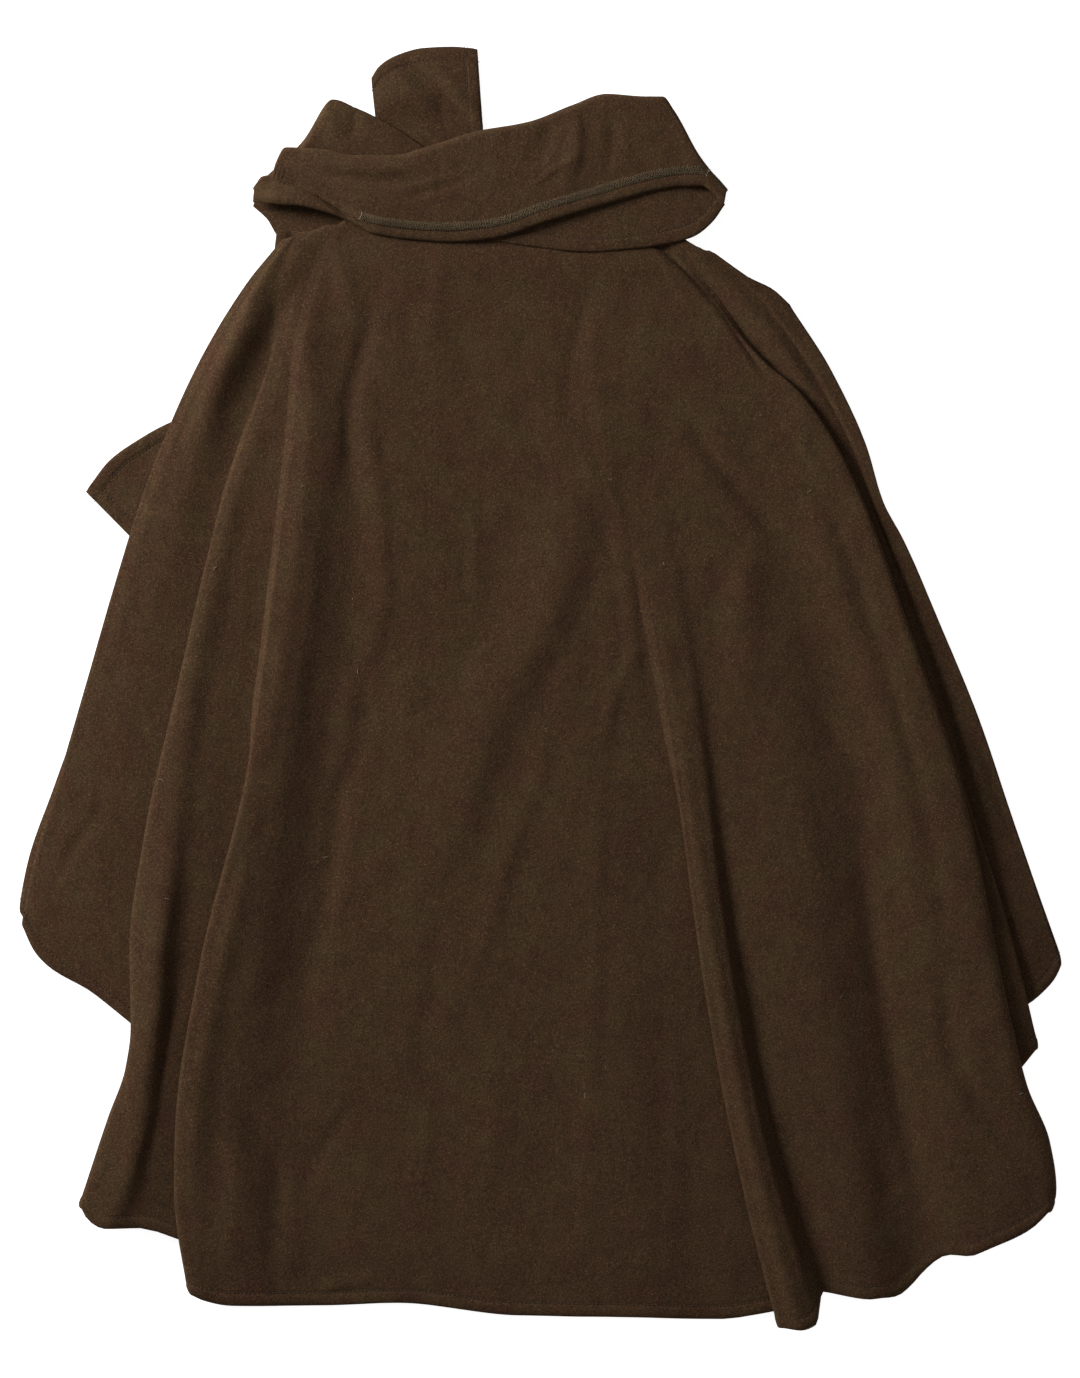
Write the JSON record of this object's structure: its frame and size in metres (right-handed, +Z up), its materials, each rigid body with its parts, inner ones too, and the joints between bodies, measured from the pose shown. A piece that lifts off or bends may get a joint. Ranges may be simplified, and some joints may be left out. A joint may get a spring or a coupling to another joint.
{
  "type": "poncho coat laid flat",
  "caption": "Wide-winged fleece poncho coat with a long scarf collar, laid flat with its back side up, its wings folded over and its hem in soft pleats.",
  "frame": {"origin": "on the floor plane, under the middle of the coat as it lies", "axes": "+X towards the wing on the right as seen from above, +Y from the hem towards the neck, +Z up from the floor, out of the back of the coat"},
  "size_m": [0.838, 1.026, 0.0218],
  "materials": {
    "fleece": "matte",
    "fleece_wrong_side": "matte",
    "sewing_thread": "satin"
  },
  "bodies": {
    "root": {"back": "fleece", "front_left": "fleece", "front_right": "fleece", "collar_over": "fleece_wrong_side", "collar_under": "fleece", "collar_front": "fleece_wrong_side", "scarf_end_top": "fleece", "scarf_end_left": "fleece"}
  },
  "joints": []
}
